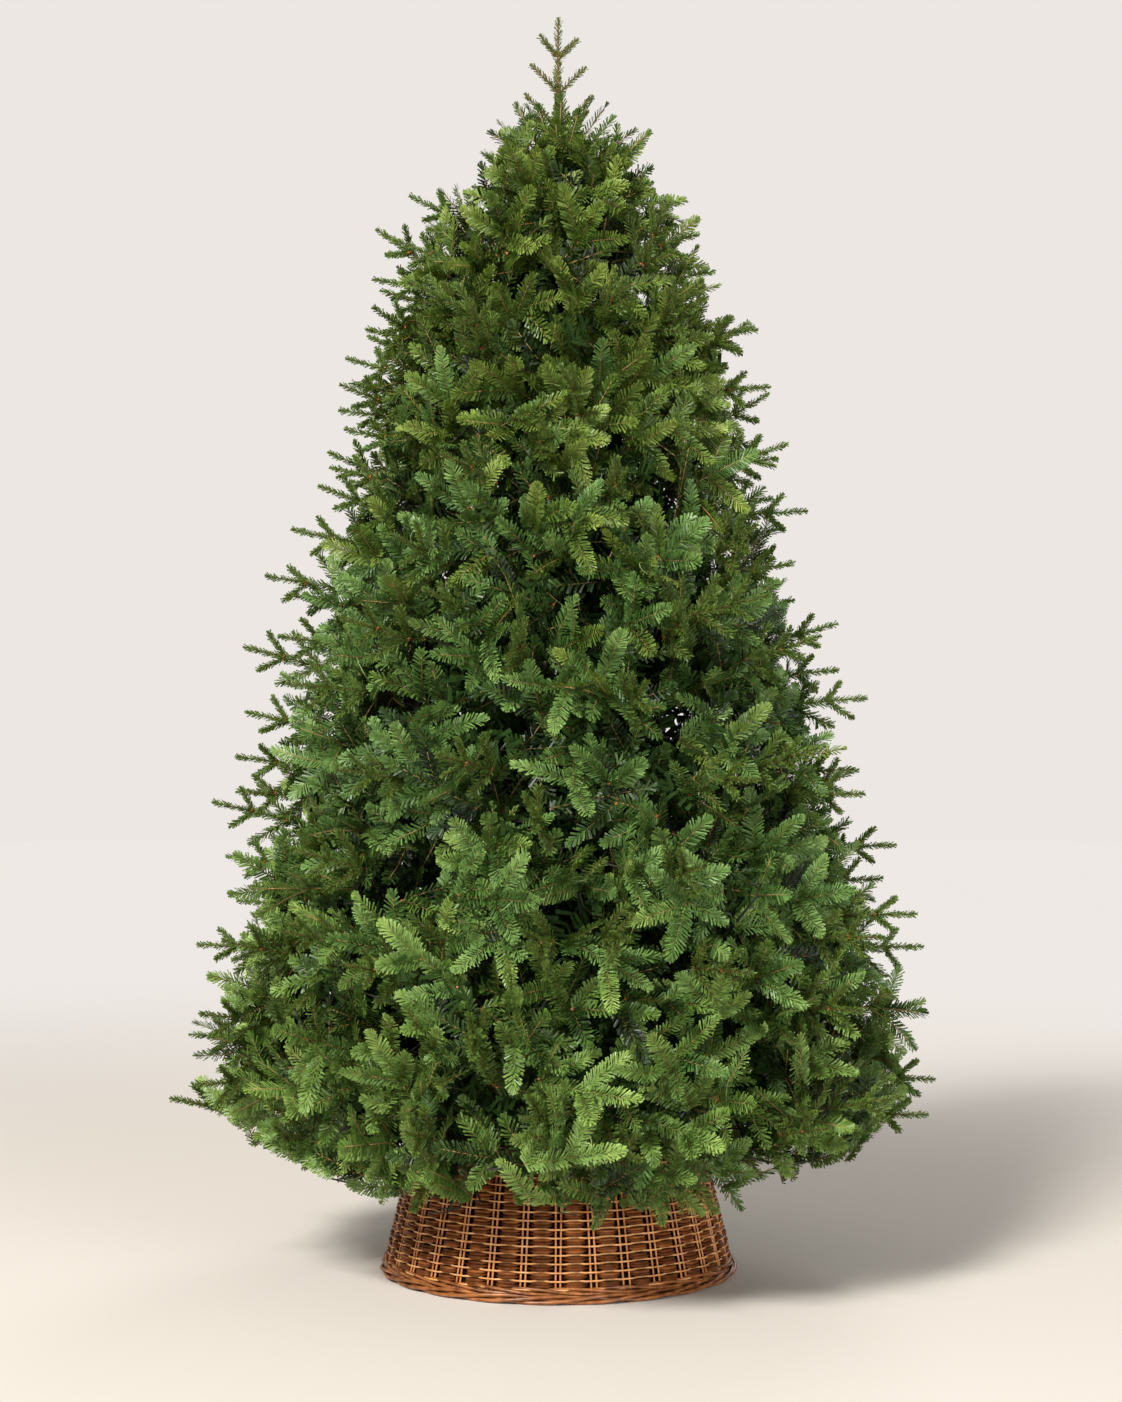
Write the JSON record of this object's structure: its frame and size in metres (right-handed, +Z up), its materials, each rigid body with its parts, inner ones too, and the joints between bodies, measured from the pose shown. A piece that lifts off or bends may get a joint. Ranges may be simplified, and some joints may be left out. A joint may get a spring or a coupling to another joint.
{
  "type": "artificial christmas tree",
  "caption": "Full, cone-shaped artificial fir on a pole with a steel stand, hidden in a woven collar; stands on the floor, undecorated.",
  "frame": {"origin": "on the floor under the pole, at the middle of the stand's foot plate", "axes": "+Z up along the pole, -Y to the front, where the picture was taken from, +X to the right seen from there"},
  "size_m": [1.3514, 1.335, 2.25],
  "materials": {
    "fir_needles": "moulded and cut needles, mid green with lighter tips, slight gloss",
    "dark_bough": "dull dark green-brown paint and wrapping",
    "brown_wicker": "woven willow, stained warm brown, satin varnish",
    "green_steel": "dark green powder coat"
  },
  "bodies": {
    "root": {"bough_tier_1_1": "dark_bough", "bough_tier_1_2": "dark_bough", "bough_tier_1_3": "dark_bough", "bough_tier_1_4": "dark_bough", "bough_tier_1_5": "dark_bough", "bough_tier_1_6": "dark_bough", "bough_tier_2_1": "dark_bough", "bough_tier_2_2": "dark_bough", "bough_tier_2_3": "dark_bough", "bough_tier_2_4": "dark_bough", "bough_tier_2_5": "dark_bough", "bough_tier_2_6": "dark_bough", "bough_tier_3_1": "dark_bough", "bough_tier_3_2": "dark_bough", "bough_tier_3_3": "dark_bough", "bough_tier_3_4": "dark_bough", "bough_tier_3_5": "dark_bough", "collar_foot_braid": "brown_wicker", "collar_rim_braid": "brown_wicker", "collar_weave": "brown_wicker", "foliage_tier_1_1": "fir_needles", "foliage_tier_1_2": "fir_needles", "foliage_tier_1_3": "fir_needles", "foliage_tier_1_4": "fir_needles", "foliage_tier_1_5": "fir_needles", "foliage_tier_1_6": "fir_needles", "foliage_tier_2_1": "fir_needles", "foliage_tier_2_2": "fir_needles", "foliage_tier_2_3": "fir_needles", "foliage_tier_2_4": "fir_needles", "foliage_tier_2_5": "fir_needles", "foliage_tier_2_6": "fir_needles", "foliage_tier_3_1": "fir_needles", "foliage_tier_3_2": "fir_needles", "foliage_tier_3_3": "fir_needles", "foliage_tier_3_4": "fir_needles", "foliage_tier_3_5": "fir_needles", "foliage_tier_4_1": "fir_needles", "foliage_tier_4_2": "fir_needles", "foliage_tier_4_3": "fir_needles", "foliage_tier_4_4": "fir_needles", "foliage_tier_4_5": "fir_needles", "foliage_tier_5_1": "fir_needles", "foliage_tier_5_2": "fir_needles", "foliage_tier_5_3": "fir_needles", "foliage_tier_5_4": "fir_needles", "foliage_tier_6_1": "fir_needles", "foliage_tier_6_2": "fir_needles", "foliage_tier_6_3": "fir_needles", "foliage_tier_6_4": "fir_needles", "foliage_tier_7_1": "fir_needles", "foliage_tier_7_2": "fir_needles", "foliage_tier_7_3": "fir_needles", "leader": "fir_needles", "stand_fin_0": "green_steel", "stand_fin_1": "green_steel", "stand_fin_2": "green_steel", "stand_fin_3": "green_steel", "stand_socket": "green_steel", "trunk_pole": "dark_bough"}
  },
  "joints": []
}
